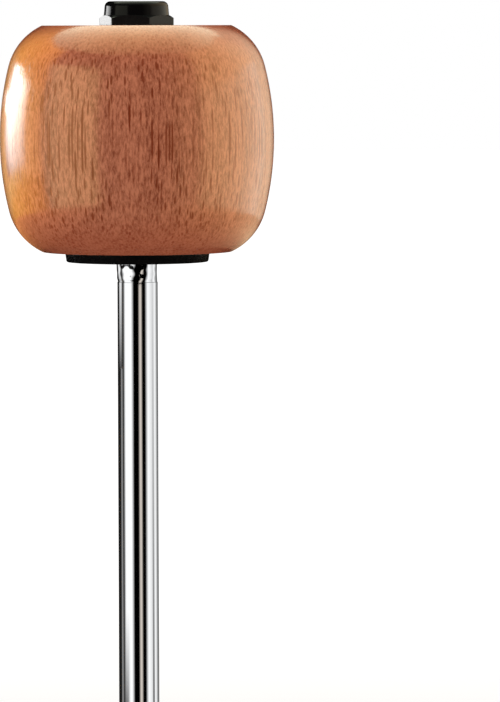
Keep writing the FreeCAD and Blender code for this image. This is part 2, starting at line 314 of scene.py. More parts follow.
class NutProperties(bpy.types.PropertyGroup):
    """Sizes and colours of the lock nut and its ring."""
    across_flats: size("Across flats", "Width of the hexagon", 13.0)
    corner_round: size("Corner rounding", "Of the hexagon's corners", 0.25)
    facing: turn("Facing", "From the front to the nearest flat, towards the right", -10.5)
    chamfer_inset: size("Chamfer inset", "From the flats inwards to the chamfer's circle", 0.3)
    chamfer_slope: turn("Chamfer slope", "Of the hexagon's chamfers", 30.0)
    mouth_chamfer: size("Mouth chamfer", "At the lower end of the thread", 0.3)
    collar_height: size("Collar height", "Of the round collar above the hexagon", 2.6)
    collar_inset: size("Collar inset", "From the flats inwards to the collar's rim", 0.2)
    collar_draft: size("Collar draft", "The collar's foot stands this far outside its rim", 0.15)
    rim_radius: size("Rim radius", "Of the collar's curled rim", 1.1)
    lip_reach: size("Lip reach", "How far the lip covers the ring", 0.5)
    lip_thickness: size("Lip thickness", "Of the curled lip", 0.7)
    thread_clearance: size("Thread clearance", "Between the nut's thread and the shaft's", 0.1)
    ring_clearance: size("Ring clearance", "Between the ring and its pocket", 0.05)
    ring_edge: size("Ring edge", "Rounding of the nylon ring", 0.2)
    ring_bore: size("Ring bore clearance", "Between the ring and the thread's crest", 0.1)
    plate: colour("Black plate", "The black zinc plating of nut and top washer", "#0A0A0B")
    bare_steel: colour("Worn plate", "Where the plating is rubbed on the corners", "#6A6865")
    grit_size: size("Grit size", "Of the plating's grain", 0.35)
    grit_depth: size("Grit depth", "Of the plating's grain", 0.02)
    nylon: colour("Nylon", "The nut's nylon ring", "#E4DFCF")
    cloud_size: size("Cloud size", "Of the nylon's duller patches", 1.5)
    scatter_reach: size("Scatter reach", "How far light travels inside the nylon", 0.6)


class StageProperties(bpy.types.PropertyGroup):
    """The studio around the beater and its camera."""
    camera_distance: size("Camera distance", "From the camera to the shaft's axis", 1070.0)
    lens: FloatProperty(name="Lens", description="Focal length", default=277.0, min=1, unit="CAMERA")
    aim_right: size("Aim right", "From the axis to the middle of the picture", 22.26)
    aim_down: size("Aim down", "From the head's top face to the middle of the picture", 64.6)
    roll: turn("Roll", "Of the camera", -0.16)
    paper: colour("Paper", "The floor's pale paper", "#E2E2E0")
    ambient: FloatProperty(name="Ambient", description="Level of the even light", default=0.42, min=0)
    side_light: FloatProperty(name="Side light", description="Level of the side lamps", default=1.7, min=0)
    top_light: FloatProperty(name="Top light", description="Level of the lamp above", default=1.5, min=0)


def arc(centre, radius, start, end, steps=ARC_STEPS):
    """Points of an outline along an arc, from one angle to another."""
    angles = [start + (end - start) * index / steps for index in range(steps + 1)]
    return [
        (centre[0] + radius * math.cos(angle), centre[1] + radius * math.sin(angle)) for angle in angles
    ]


def rounded(corners):
    """The points of an outline whose corners are given as radius, height and rounding."""
    points = []
    for index, (radius, height, rounding) in enumerate(corners):
        if not rounding:
            points.append((radius, height))
            continue
        corner = Vector((radius, height))
        before = Vector(corners[index - 1][:2]) - corner
        after = Vector(corners[(index + 1) % len(corners)][:2]) - corner
        before.normalize()
        after.normalize()
        half = before.angle(after) / 2
        centre = corner + (before + after).normalized() * rounding / math.sin(half)
        first = corner + before * rounding / math.tan(half) - centre
        swing = first.angle_signed(corner + after * rounding / math.tan(half) - centre)
        start = math.atan2(first.y, first.x)
        points += arc(centre, rounding, start, start - swing)
    return points


def level(radius, height):
    """A plain ring: the same radius and height at every angle."""
    return lambda angle: (radius, height)


def even_angles(columns):
    """Angles around the axis, evenly spaced."""
    return [FULL_TURN * index / columns for index in range(columns)]


def add_rings(shape, rings, angles, climb=0):
    """Adds a wall of rings about the axis. A thread's rings climb by some rings in each turn."""
    grid = []
    for ring in rings:
        row = []
        for angle in angles:
            radius, height = ring(angle)
            row.append(shape.verts.new((radius * math.cos(angle), radius * math.sin(angle), height)))
        grid.append(row)
    columns = len(angles)
    for index in range(len(rings) - 1):
        for column in range(columns):
            across = (column + 1) % columns
            lift = climb if across == 0 else 0
            if index + lift + 1 < len(rings):
                shape.faces.new((
                    grid[index][column], grid[index + lift][across],
                    grid[index + lift + 1][across], grid[index + 1][column],
                ))


def finish_piece(name, shape, material, body, node):
    """Turns a bmesh into a piece that rides on its body and stands for its CAD node."""
    bmesh.ops.remove_doubles(shape, verts=shape.verts, dist=MERGE_DISTANCE)
    bmesh.ops.dissolve_degenerate(shape, edges=shape.edges, dist=MERGE_DISTANCE)
    bmesh.ops.recalc_face_normals(shape, faces=shape.faces)
    mesh = bpy.data.meshes.new(name)
    shape.to_mesh(mesh)
    shape.free()
    mesh.shade_smooth()
    mesh.set_sharp_from_angle(angle=SHARP_ANGLE)
    mesh.materials.append(material)
    piece = bpy.data.objects.new(name, mesh)
    bpy.context.scene.collection.objects.link(piece)
    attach(piece, body)
    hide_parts(node)


def turned_piece(name, outline, columns, material, body, node):
    """A piece of revolution from the closed outline of its section."""
    shape = bmesh.new()
    rings = [level(radius, height) for radius, height in outline]
    add_rings(shape, rings + rings[:1], even_angles(columns))
    finish_piece(name, shape, material, body, node)


def thread_rings(profile, pitch, start, low, high, limit):
    """Helical rings between two heights. The profile lists radius and height of one turn's creases."""
    def crease(radius, offset):
        def ring(angle):
            height = start + offset + pitch * angle / FULL_TURN
            height = min(max(height, low), high)
            return limit(radius, height), height
        return ring

    # One turn more than needed at each end, which the two heights cut off
    first = math.floor((low - start) / pitch) - 1
    last = first + math.ceil((high - low) / pitch) + 2
    return [
        crease(radius, offset + index * pitch)
        for index in range(first, last + 1) for radius, offset in profile
    ]


def thread_sizes(shaft):
    """Crest and root radius of the shaft's thread, and the flats at its root and crest."""
    pitch = shaft.thread_pitch
    crest = shaft.diameter / 2 - shaft.spigot_step
    return crest, crest - pitch * THREAD_DEPTH_SHARE, pitch * ROOT_FLAT_SHARE, pitch * CREST_FLAT_SHARE


def add_node(tree, kind, inputs=(), **settings):
    """A shader node with its settings, and with its inputs set to values or linked to outputs."""
    node = tree.nodes.new(kind)
    for name, value in settings.items():
        setattr(node, name, value)
    for name, value in dict(inputs).items():
        if isinstance(value, bpy.types.NodeSocket):
            tree.links.new(value, node.inputs[name])
        else:
            node.inputs[name].default_value = value
    return node


def new_material(name):
    """An empty node material and its node tree."""
    material = bpy.data.materials.new(name)
    material.use_nodes = True
    material.node_tree.nodes.clear()
    return material, material.node_tree


def opaque(rgb):
    """A colour with full alpha, as shader sockets take it."""
    return (*rgb, 1)


def cells(tree, width, length):
    """The place on a piece, counted in a pattern's cells of some width, and some length along the shaft."""
    place = add_node(tree, "ShaderNodeTexCoord").outputs["Object"]
    per_metre = (1 / width, 1 / width, 1 / length)
    node = add_node(tree, "ShaderNodeVectorMath", {0: place, 1: per_metre}, operation="MULTIPLY")
    return node.outputs["Vector"]


def uneven(tree, pattern, smooth, rough, strength, depth):
    """The roughness and the normal of a surface that a fine pattern makes uneven, as shader inputs."""
    gloss = add_node(tree, "ShaderNodeMapRange", {"Value": pattern, "To Min": smooth, "To Max": rough})
    bumps = add_node(tree, "ShaderNodeBump", {"Height": pattern, "Strength": strength, "Distance": depth})
    return {"Roughness": gloss.outputs["Result"], "Normal": bumps.outputs["Normal"]}


def lacquered_hardwood(head):
    """Open-pored tropical hardwood, turned along its grain, stained red-brown and clear lacquered."""
    # The lacquer gives sharp, bright reflections over soft wood colour, and dips into the vessels.
    # Grain runs along the shaft, so the side shows long vessels and the ends show them as dots.
    # Real fibres and vessels are too fine for the picture, so both are drawn wide enough to show.
    base_tone = -1.28
    fibre_contrast = 3.5
    streak_contrast = 0.5
    ring_contrast = -0.25
    ring_drift = 1.6
    narrowest_share = 0.6
    vessel_edge_share = 0.3
    fibre_relief = -0.6
    material, tree = new_material("lacquered_turned_hardwood")
    surface = add_node(tree, "ShaderNodeTexCoord")

    place = cells(tree, head.fibre_width, head.fibre_length)
    fibres = add_node(
        tree, "ShaderNodeTexNoise", {"Vector": place, "Scale": 1, "Detail": 4, "Roughness": 0.7}
    )
    place = cells(tree, head.streak_width, head.streak_length)
    streaks = add_node(tree, "ShaderNodeTexNoise", {"Vector": place, "Scale": 1, "Detail": 2})

    # The blank was sawn beside the tree's middle, so the growth rings cross it as wide arcs
    place = cells(tree, head.ring_drift_width, head.ring_drift_length)
    drift = add_node(tree, "ShaderNodeTexNoise", {"Vector": place, "Scale": 1, "Detail": 1})
    rate = 1 / head.ring_spacing
    pith = (-head.pith_right * rate, -head.pith_behind * rate, 0)
    reach = add_node(
        tree, "ShaderNodeVectorMath", {0: surface.outputs["Object"], 1: (rate, rate, 0), 2: pith},
        operation="MULTIPLY_ADD",
    )
    years = add_node(tree, "ShaderNodeVectorMath", {0: reach.outputs["Vector"]}, operation="LENGTH")
    years = add_node(
        tree, "ShaderNodeMath", {0: drift.outputs["Fac"], 1: ring_drift, 2: years.outputs["Value"]},
        operation="MULTIPLY_ADD",
    )
    rings = add_node(tree, "ShaderNodeMath", {0: years.outputs["Value"]}, operation="FRACT")

    tone = base_tone
    for pattern, contrast in (
        (fibres.outputs["Fac"], fibre_contrast),
        (streaks.outputs["Fac"], streak_contrast),
        (rings.outputs["Value"], ring_contrast),
    ):
        total = add_node(
            tree, "ShaderNodeMath", {0: pattern, 1: contrast, 2: tone}, operation="MULTIPLY_ADD"
        )
        tone = total.outputs["Value"]
    total.use_clamp = True
    wood = add_node(
        tree, "ShaderNodeMix",
        {FACTOR: tone, FIRST: opaque(head.dark_wood), SECOND: opaque(head.pale_wood)},
        data_type="RGBA",
    )

    # Vessels differ in width and in how much stain fills them, and they crowd together in places
    place = cells(tree, head.vessel_spacing, head.vessel_length)
    vessels = add_node(
        tree, "ShaderNodeTexVoronoi", {"Vector": place, "Scale": 1, "Randomness": 0.9}, feature="F1"
    )
    widest = head.vessel_bore / 2 / head.vessel_spacing
    chance = add_node(tree, "ShaderNodeSeparateColor", {0: vessels.outputs["Color"]})
    bore = add_node(
        tree, "ShaderNodeMapRange",
        {"Value": chance.outputs["Red"], "To Min": narrowest_share * widest, "To Max": widest},
    )
    depth = add_node(
        tree, "ShaderNodeMath", {0: bore.outputs["Result"], 1: vessels.outputs["Distance"]},
        operation="SUBTRACT",
    )
    pores = add_node(
        tree, "ShaderNodeMapRange",
        {"Value": depth.outputs["Value"], "From Max": vessel_edge_share * widest},
    )
    fill = add_node(
        tree, "ShaderNodeMapRange", {"Value": chance.outputs["Green"], "To Min": 0.75, "To Max": 1}
    )
    place = cells(tree, head.crowd_width, head.crowd_length)
    crowds = add_node(tree, "ShaderNodeTexNoise", {"Vector": place, "Scale": 1, "Detail": 1})
    crowd = add_node(
        tree, "ShaderNodeMapRange",
        {"Value": crowds.outputs["Fac"], "From Min": 0.36, "From Max": 0.52, "To Min": 0.4, "To Max": 1},
    )
    stain = pores.outputs["Result"]
    for share in (fill.outputs["Result"], crowd.outputs["Result"]):
        product = add_node(tree, "ShaderNodeMath", {0: stain, 1: share}, operation="MULTIPLY")
        stain = product.outputs["Value"]
    stained = add_node(
        tree, "ShaderNodeMix",
        {FACTOR: stain, FIRST: wood.outputs[BLEND], SECOND: opaque(head.pores)},
        data_type="RGBA",
    )

    # Where the surface turns across the grain, the wood soaks up stain and lacquer and looks even
    facing = add_node(tree, "ShaderNodeSeparateXYZ", {0: surface.outputs["Normal"]})
    endwise = add_node(tree, "ShaderNodeMath", {0: facing.outputs["Z"]}, operation="ABSOLUTE")
    open_grain = add_node(
        tree, "ShaderNodeMapRange",
        {"Value": endwise.outputs["Value"], "From Min": 0.15, "From Max": 0.7, "To Min": 1, "To Max": 0.45},
    )
    soaked = add_node(
        tree, "ShaderNodeMix",
        {
            FACTOR: open_grain.outputs["Result"],
            FIRST: opaque(head.end_grain),
            SECOND: stained.outputs[BLEND],
        },
        data_type="RGBA",
    )

    # The lacquer is duller over vessels, and dull on the flat ends, which are cut across the grain
    gloss = add_node(tree, "ShaderNodeMapRange", {"Value": stain, "To Min": 0.16, "To Max": 0.28})
    dull = add_node(
        tree, "ShaderNodeMapRange",
        {"Value": endwise.outputs["Value"], "From Min": 0.95, "From Max": 0.99, "To Min": 0, "To Max": 0.6},
    )
    gloss = add_node(
        tree, "ShaderNodeMath", {0: gloss.outputs["Result"], 1: dull.outputs["Result"]}, operation="MAXIMUM"
    )
    relief = add_node(
        tree, "ShaderNodeMath", {0: fibres.outputs["Fac"], 1: fibre_relief, 2: stain},
        operation="MULTIPLY_ADD",
    )
    relief = add_node(
        tree, "ShaderNodeMath", {0: relief.outputs["Value"], 1: open_grain.outputs["Result"]},
        operation="MULTIPLY",
    )
    dips = add_node(
        tree, "ShaderNodeBump",
        {"Height": relief.outputs["Value"], "Strength": 0.25, "Distance": head.vessel_dip},
        invert=True,
    )
    shader = add_node(
        tree, "ShaderNodeBsdfPrincipled",
        {
            "Base Color": soaked.outputs[BLEND],
            "Roughness": gloss.outputs["Value"],
            "IOR": 1.5,
            "Specular Tint": opaque(head.lacquer),
            "Normal": dips.outputs["Normal"],
        },
    )
    add_node(tree, "ShaderNodeOutputMaterial", {"Surface": shader.outputs["BSDF"]})
    return material


def chrome_plate(shaft):
    """Drawn steel rod, polished along its length and chromium plated."""
    # A mirror with faint lines along the rod, which waver the edges of what it reflects.
    # Real polishing lines are too fine for the picture, so they are drawn wide enough to show.
    material, tree = new_material("polished_chrome_plate")
    place = cells(tree, shaft.polish_width, shaft.polish_length)
    polish = add_node(tree, "ShaderNodeTexNoise", {"Vector": place, "Scale": 1, "Detail": 2})
    lines = uneven(
        tree, polish.outputs["Fac"], smooth=0.02, rough=0.09, strength=0.05, depth=shaft.polish_depth
    )
    shader = add_node(
        tree, "ShaderNodeBsdfPrincipled", {"Base Color": opaque(shaft.chrome), "Metallic": 1, **lines}
    )
    add_node(tree, "ShaderNodeOutputMaterial", {"Surface": shader.outputs["BSDF"]})
    return material


def moulded_nylon(washers):
    """Black nylon, injection moulded against a polished mould."""
    # Deep black with a clear gloss, softened by the faint orange peel of the moulding.
    material, tree = new_material("black_moulded_nylon")
    place = cells(tree, washers.peel_size, washers.peel_size)
    peel = add_node(tree, "ShaderNodeTexNoise", {"Vector": place, "Scale": 1, "Detail": 2})
    ripple = uneven(
        tree, peel.outputs["Fac"], smooth=0.16, rough=0.34, strength=0.1, depth=washers.peel_depth
    )
    shader = add_node(
        tree, "ShaderNodeBsdfPrincipled",
        {"Base Color": opaque(washers.nylon), "IOR": 1.53, "Specular IOR Level": 0.1, **ripple},
    )
    add_node(tree, "ShaderNodeOutputMaterial", {"Surface": shader.outputs["BSDF"]})
    return material


def black_zinc(nut):
    """Cold-formed steel, black zinc plated, with the plating rubbed thin on the edges."""
    # Dark and half glossy like wet slate, with a greyer line where a spanner has touched the corners.
    # The plating's real grain is too fine for the picture, so it is drawn coarse enough to show.
    material, tree = new_material("black_zinc_plate")
    place = cells(tree, nut.grit_size, nut.grit_size)
    grain = add_node(
        tree, "ShaderNodeTexNoise", {"Vector": place, "Scale": 1, "Detail": 4, "Roughness": 0.65}
    )
    edges = add_node(tree, "ShaderNodeNewGeometry").outputs["Pointiness"]
    rubbed = add_node(
        tree, "ShaderNodeMapRange",
        {"Value": edges, "From Min": 0.54, "From Max": 0.66, "To Min": 0, "To Max": 0.8},
    )
    rubbed = add_node(
        tree, "ShaderNodeMath", {0: rubbed.outputs["Result"], 1: grain.outputs["Fac"]}, operation="MULTIPLY"
    )
    plate = add_node(
        tree, "ShaderNodeMix",
        {FACTOR: rubbed.outputs["Value"], FIRST: opaque(nut.plate), SECOND: opaque(nut.bare_steel)},
        data_type="RGBA",
    )
    grit = uneven(tree, grain.outputs["Fac"], smooth=0.07, rough=0.18, strength=0.2, depth=nut.grit_depth)
    shader = add_node(
        tree, "ShaderNodeBsdfPrincipled",
        {"Base Color": plate.outputs[BLEND], "Specular IOR Level": 0.05, **grit},
    )
    add_node(tree, "ShaderNodeOutputMaterial", {"Surface": shader.outputs["BSDF"]})
    return material


def natural_nylon(nut):
    """Unpigmented nylon, moulded, a little translucent."""
    # Milky and soft-edged: light enters the ring and comes out again beside where it went in.
    material, tree = new_material("natural_moulded_nylon")
    place = cells(tree, nut.cloud_size, nut.cloud_size)
    cloud = add_node(tree, "ShaderNodeTexNoise", {"Vector": place, "Scale": 1, "Detail": 2})
    gloss = add_node(
        tree, "ShaderNodeMapRange", {"Value": cloud.outputs["Fac"], "To Min": 0.3, "To Max": 0.5}
    )
    shader = add_node(
        tree, "ShaderNodeBsdfPrincipled",
        {
            "Base Color": opaque(nut.nylon),
            "Roughness": gloss.outputs["Result"],
            "IOR": 1.53,
            "Subsurface Weight": 0.4,
            "Subsurface Radius": (1, 0.9, 0.7),
            "Subsurface Scale": nut.scatter_reach,
        },
    )
    add_node(tree, "ShaderNodeOutputMaterial", {"Surface": shader.outputs["BSDF"]})
    return material


class BEATER_OT_head(bpy.types.Operator):
    """Build the turned wooden head"""
    bl_idname = "beater.head"
    bl_label = "Turned head"

    def execute(self, context):
        head = context.scene.beater_head
        low, high = node_heights("beater_head")
        middle = (low + high) / 2
        widest = node_radius("beater_head")
        face = widest - head.face_inset
        side = (widest - head.side_radius, 0)

        # The shoulder touches the side's arc from inside and passes through the edge of the face
        reach = math.hypot(high - middle, face - side[0])
        centre_reach = head.side_radius - head.shoulder_radius
        along = (centre_reach ** 2 - head.shoulder_radius ** 2 + reach ** 2) / (2 * reach)
        meeting = math.atan2(high - middle, face - side[0]) - math.acos(along / centre_reach)
        shoulder = (side[0] + centre_reach * math.cos(meeting), centre_reach * math.sin(meeting))
        edge_height = high - middle - head.edge_radius
        edge_reach = head.shoulder_radius - head.edge_radius
        edge = (shoulder[0] + math.sqrt(edge_reach ** 2 - (edge_height - shoulder[1]) ** 2), edge_height)
        turning = math.atan2(edge[1] - shoulder[1], edge[0] - shoulder[0])

        upper = arc(side, head.side_radius, 0, meeting, LONG_ARC_STEPS)
        upper += arc(shoulder, head.shoulder_radius, meeting, turning, LONG_ARC_STEPS)[1:]
        upper += arc(edge, head.edge_radius, turning, QUARTER_TURN)[1:]
        lower = [(radius, -height) for radius, height in reversed(upper[1:])]
        outside = [(radius, middle + height) for radius, height in lower + upper]

        floor = node_heights("top_washer")[0]
        recess = node_radius("top_washer") + head.recess_clearance
        bore = thread_sizes(context.scene.beater_shaft)[0] + head.bore_clearance
        inside = rounded([
            (recess, high, head.mouth_radius),
            (recess, floor, 0),
            (bore, floor, head.mouth_radius),
            (bore, low, head.mouth_radius),
            (*outside[0], 0),
            (*outside[-1], 0),
        ])[:-2]
        turned_piece(
            "head_turned", outside + inside, HEAD_COLUMNS, lacquered_hardwood(head),
            "head", "beater_head",
        )
        return {"FINISHED"}


class BEATER_OT_shaft(bpy.types.Operator):
    """Build the chromed shaft with its swaged ears and its thread"""
    bl_idname = "beater.shaft"
    bl_label = "Chromed shaft"

    def execute(self, context):
        shaft = context.scene.beater_shaft
        low, high = node_heights("shaft")
        reach = node_heights("support_washer")[0]
        radius = shaft.diameter / 2
        crest, root, root_flat, crest_flat = thread_sizes(shaft)
        swage = reach - shaft.swage_length
        thread_low = node_heights("lock_nut")[0] - shaft.thread_run
        first_ear = shaft.ear_turn - QUARTER_TURN
        dimple = shaft.dimple_turn - QUARTER_TURN

        def swage_ring(share):
            """A ring of the swage, at a share of its length."""
            entry = min(share * shaft.swage_length / shaft.swage_start, 1)
            rise = shaft.swage_press * math.sin(entry * QUARTER_TURN) ** 2 + (1 - shaft.swage_press) * share
            start = radius - shaft.swage_step
            ear = start + rise * (shaft.swage_step + shaft.ear_height)
            dent = start - rise * (shaft.dent_depth - shaft.swage_step)
            below = (1 - share) * shaft.swage_length

            def ring(angle):
                swing = math.cos(shaft.ear_count * (angle - first_ear))
                marks = sum(
                    part * math.sin(around * angle + turned) * math.sin(along * share + raised)
                    for part, around, turned, along, raised in MARK_WAVES
                )
                across = radius * math.remainder(angle - dimple, FULL_TURN)
                apart = math.hypot(across / shaft.dimple_width, below / shaft.dimple_height)
                reach_out = (ear + dent) / 2 + swing * (ear - dent) / 2 + entry * shaft.mark_depth * marks
                reach_out -= shaft.dimple_depth * math.exp(-apart ** 2)
                return reach_out, swage + share * shaft.swage_length
            return ring

        rings = [
            level(0, low),
            level(radius - shaft.end_chamfer, low),
            level(radius, low + shaft.end_chamfer),
            level(radius, swage - shaft.step_chamfer),
            level(radius - shaft.step_chamfer, swage),
        ]
        rings += [swage_ring(index / LONG_ARC_STEPS) for index in range(LONG_ARC_STEPS + 1)]
        rings += [level(crest, reach), level(crest, thread_low)]

        def tip(ring_radius, height):
            """The thread's radius, cut down by the chamfer of the tip."""
            if height <= thread_low:
                return crest
            return min(ring_radius, crest - shaft.tip_chamfer + high - height)

        groove = [
            (root, -root_flat / 2),
            (root, root_flat / 2),
            (crest, (shaft.thread_pitch - crest_flat) / 2),
            (crest, (shaft.thread_pitch + crest_flat) / 2),
        ]
        angles = even_angles(SHAFT_COLUMNS)
        shape = bmesh.new()
        add_rings(shape, rings, angles)
        thread = thread_rings(groove, shaft.thread_pitch, thread_low, thread_low, high, tip)
        add_rings(shape, thread, angles, climb=len(groove))
        add_rings(shape, [level(crest - shaft.tip_chamfer, high), level(0, high)], angles)
        finish_piece("shaft_chromed", shape, chrome_plate(shaft), "shaft", "shaft")
        return {"FINISHED"}


class BEATER_OT_washers(bpy.types.Operator):
    """Build the support washer and the top washer"""
    bl_idname = "beater.washers"
    bl_label = "Washers"

    def execute(self, context):
        washers = context.scene.beater_washers
        crest = thread_sizes(context.scene.beater_shaft)[0]

        low, high = node_heights("support_washer")
        outer = node_radius("support_washer")
        bore = crest + washers.support_clearance
        outline = rounded([
            (bore, low, 0),
            (outer - washers.support_draft, low, washers.support_edge),
            (outer, high, washers.support_edge),
            (bore, high, 0),
        ])
        turned_piece(
            "support_washer_moulded", outline, WASHER_COLUMNS, moulded_nylon(washers),
            "shaft", "support_washer",
        )

        low, high = node_heights("top_washer")
        outer = node_radius("top_washer")
        bore = crest + washers.top_clearance
        outline = rounded([
            (bore, low, 0),
            (outer, low, 0),
            (outer, high, washers.top_edge),
            (bore, high, washers.top_edge),
        ])
        turned_piece(
            "top_washer_stamped", outline, WASHER_COLUMNS, black_zinc(context.scene.beater_nut),
            "head", "top_washer",
        )
        return {"FINISHED"}


class BEATER_OT_lock_nut(bpy.types.Operator):
    """Build the lock nut and its nylon ring"""
    bl_idname = "beater.lock_nut"
    bl_label = "Lock nut"

    def execute(self, context):
        nut = context.scene.beater_nut
        shaft = context.scene.beater_shaft
        low, high = node_heights("lock_nut")
        ring_low, ring_high = node_heights("lock_nut_ring")
        crest, root, root_flat = thread_sizes(shaft)[:3]
        flat = nut.across_flats / 2
        sector = FULL_TURN / HEXAGON_SIDES
        facing = nut.facing - QUARTER_TURN
        hub = (flat - nut.corner_round) / math.cos(sector / 2)
        tangent = math.atan2(
            nut.corner_round * math.sin(sector / 2), hub + nut.corner_round * math.cos(sector / 2)
        )
        slope = math.tan(nut.chamfer_slope)
        chamfer = flat - nut.chamfer_inset
        hex_top = high - nut.collar_height
        collar = flat - nut.collar_inset
        collar_foot = collar + nut.collar_draft
        pocket = node_radius("lock_nut_ring") + nut.ring_clearance
        opening = pocket - nut.lip_reach
        pocket_top = high - nut.lip_thickness
        minor = root + nut.thread_clearance
        major = crest + nut.thread_clearance
        mouth = major + nut.mouth_chamfer
        mouth_top = low + mouth - minor

        def hexagon(angle):
            """Radius of the hexagon with rounded corners."""
            from_corner = (angle - facing) % sector - sector / 2
            if abs(from_corner) < tangent:
                across = hub * math.sin(from_corner)
                return hub * math.cos(from_corner) + math.sqrt(nut.corner_round ** 2 - across ** 2)
            return flat / math.cos(sector / 2 - abs(from_corner))

        def lower_crease(angle):
            return hexagon(angle), low + (hexagon(angle) - chamfer) * slope

        def upper_crease(angle):
            return hexagon(angle), hex_top - (hexagon(angle) - chamfer) * slope

        outside = [level(mouth, low), level(chamfer, low), lower_crease, upper_crease]
        outside += [level(collar_foot, hex_top - (collar_foot - chamfer) * slope)]
        rim = arc((collar - nut.rim_radius, high - nut.rim_radius), nut.rim_radius, 0, QUARTER_TURN)
        inside = [(opening, high), (opening, pocket_top), (pocket, pocket_top), (pocket, ring_low)]
        outside += [level(*point) for point in rim + inside]
        outside += [level(minor, ring_low)]

        # One turn of the nut's groove: the shaft's ridge, larger by the clearance all round
        play = nut.thread_clearance / math.cos(THREAD_FLANK)

        def half_width(radius):
            ridge = shaft.thread_pitch - root_flat - 2 * (radius - root) * math.tan(THREAD_FLANK)
            return ridge / 2 + play

        groove = [
            (minor, -half_width(minor)), (major, -half_width(major)),
            (major, half_width(major)), (minor, half_width(minor)),
        ]

        def ends(ring_radius, height):
            """The thread's radius, closed at the mouth and under the ring."""
            return minor if height in (mouth_top, ring_low) else ring_radius

        start = low - shaft.thread_run + shaft.thread_pitch / 2
        thread = thread_rings(groove, shaft.thread_pitch, start, mouth_top, ring_low, ends)

        angles = []
        spare = sector - 2 * tangent
        for side in range(HEXAGON_SIDES):
            corner = facing + (side + 1 / 2) * sector
            angles += [corner + tangent * share for share in NUT_CORNER_SHARES]
            angles += [
                corner + tangent + spare * index / NUT_FLAT_STEPS for index in range(1, NUT_FLAT_STEPS)
            ]

        shape = bmesh.new()
        add_rings(shape, outside, angles)
        add_rings(shape, thread, angles, climb=len(groove))
        add_rings(shape, [level(minor, mouth_top), level(mouth, low)], angles)
        finish_piece("lock_nut_plated", shape, black_zinc(nut), "lock_nut", "lock_nut")

        bore = crest + nut.ring_bore
        outer = node_radius("lock_nut_ring")
        outline = rounded([
            (bore, ring_low, 0), (outer, ring_low, 0),
            (outer, ring_high, nut.ring_edge), (bore, ring_high, nut.ring_edge),
        ])
        turned_piece(
            "lock_nut_ring_nylon", outline, WASHER_COLUMNS, natural_nylon(nut),
            "lock_ring", "lock_nut_ring",
        )
        return {"FINISHED"}


def toward(azimuth, distance, height):
    """A point around the beater. Azimuth 0 is towards the camera, and positive to the right."""
    angle = math.radians(azimuth)
    return Vector((distance * math.sin(angle), -distance * math.cos(angle), height))


def lamp(name, place, target, sides, radiance, tint=WHITE):
    """A flat lamp that faces a point and lights without showing in reflections."""
    light = bpy.data.lights.new(name, "AREA")
    light.shape = "RECTANGLE"
    light.size, light.size_y = sides
    light.energy = radiance * math.pi * math.prod(sides)
    light.color = tint
    holder = bpy.data.objects.new(name, light)
    holder.location = place
    holder.rotation_euler = (target - place).to_track_quat("-Z", "Y").to_euler()
    holder.visible_camera = False
    holder.visible_glossy = False
    bpy.context.scene.collection.objects.link(holder)


def reflection_card(name, points, columns, glow, tint, left_out=None):
    """A card that only reflections show. It is a grid of points, and glow is the level of each."""
    faces = []
    for index in range(len(points) - columns):
        if (index + 1) % columns:
            faces.append((index, index + 1, index + columns + 1, index + columns))
    mesh = bpy.data.meshes.new(name)
    mesh.from_pydata(points, [], faces)
    levels = mesh.attributes.new("glow", "FLOAT", "POINT")
    levels.data.foreach_set("value", glow)
    material, tree = new_material(name)
    painted = add_node(tree, "ShaderNodeAttribute", attribute_name="glow")
    shine = add_node(
        tree, "ShaderNodeEmission", {"Color": opaque(tint), "Strength": painted.outputs["Fac"]}
    )
    add_node(tree, "ShaderNodeOutputMaterial", {"Surface": shine.outputs["Emission"]})
    mesh.materials.append(material)
    card = bpy.data.objects.new(name, mesh)
    card.visible_camera = False
    card.visible_diffuse = False
    card.visible_shadow = False
    card.light_linking.receiver_collection = left_out
    bpy.context.scene.collection.objects.link(card)


def bent_card(name, stops, distance, low, high, tint=WHITE, left_out=None, foot_distance=None):
    """A card bent around the beater, straight up or leaning from another distance at its foot."""
    azimuths = []
    foot_levels = []
    top_levels = []
    for (start, *first), (end, *last) in zip(stops, stops[1:]):
        steps = max(1, round(abs(end - start) / CARD_STEP))
        for index in range(steps):
            share = index / steps
            azimuths.append(start + (end - start) * share)
            foot_levels.append(first[0] + (last[0] - first[0]) * share)
            top_levels.append(first[-1] + (last[-1] - first[-1]) * share)
    azimuths.append(stops[-1][0])
    foot_levels.append(stops[-1][1])
    top_levels.append(stops[-1][-1])
    points = [toward(azimuth, foot_distance or distance, low) for azimuth in azimuths]
    points += [toward(azimuth, distance, high) for azimuth in azimuths]
    reflection_card(name, points, len(azimuths), foot_levels + top_levels, tint, left_out)


def dark(first, last):
    """The stops of a dark card, from the azimuth of one stop to that of another."""
    return ((first[0], 0), (last[0], 0))


def at_foot(stops):
    """A card's stops with only the levels at its foot."""
    return tuple(stop[:2] for stop in stops)


def seen_directly(tree):
    """1 for rays from the camera and for those that metal or glass sends on, else 0."""
    path = add_node(tree, "ShaderNodeLightPath")
    seen = path.outputs["Is Camera Ray"]
    for kind in ("Is Glossy Ray", "Is Transmission Ray"):
        either = add_node(tree, "ShaderNodeMath", {0: seen, 1: path.outputs[kind]}, operation="MAXIMUM")
        seen = either.outputs["Value"]
    return seen


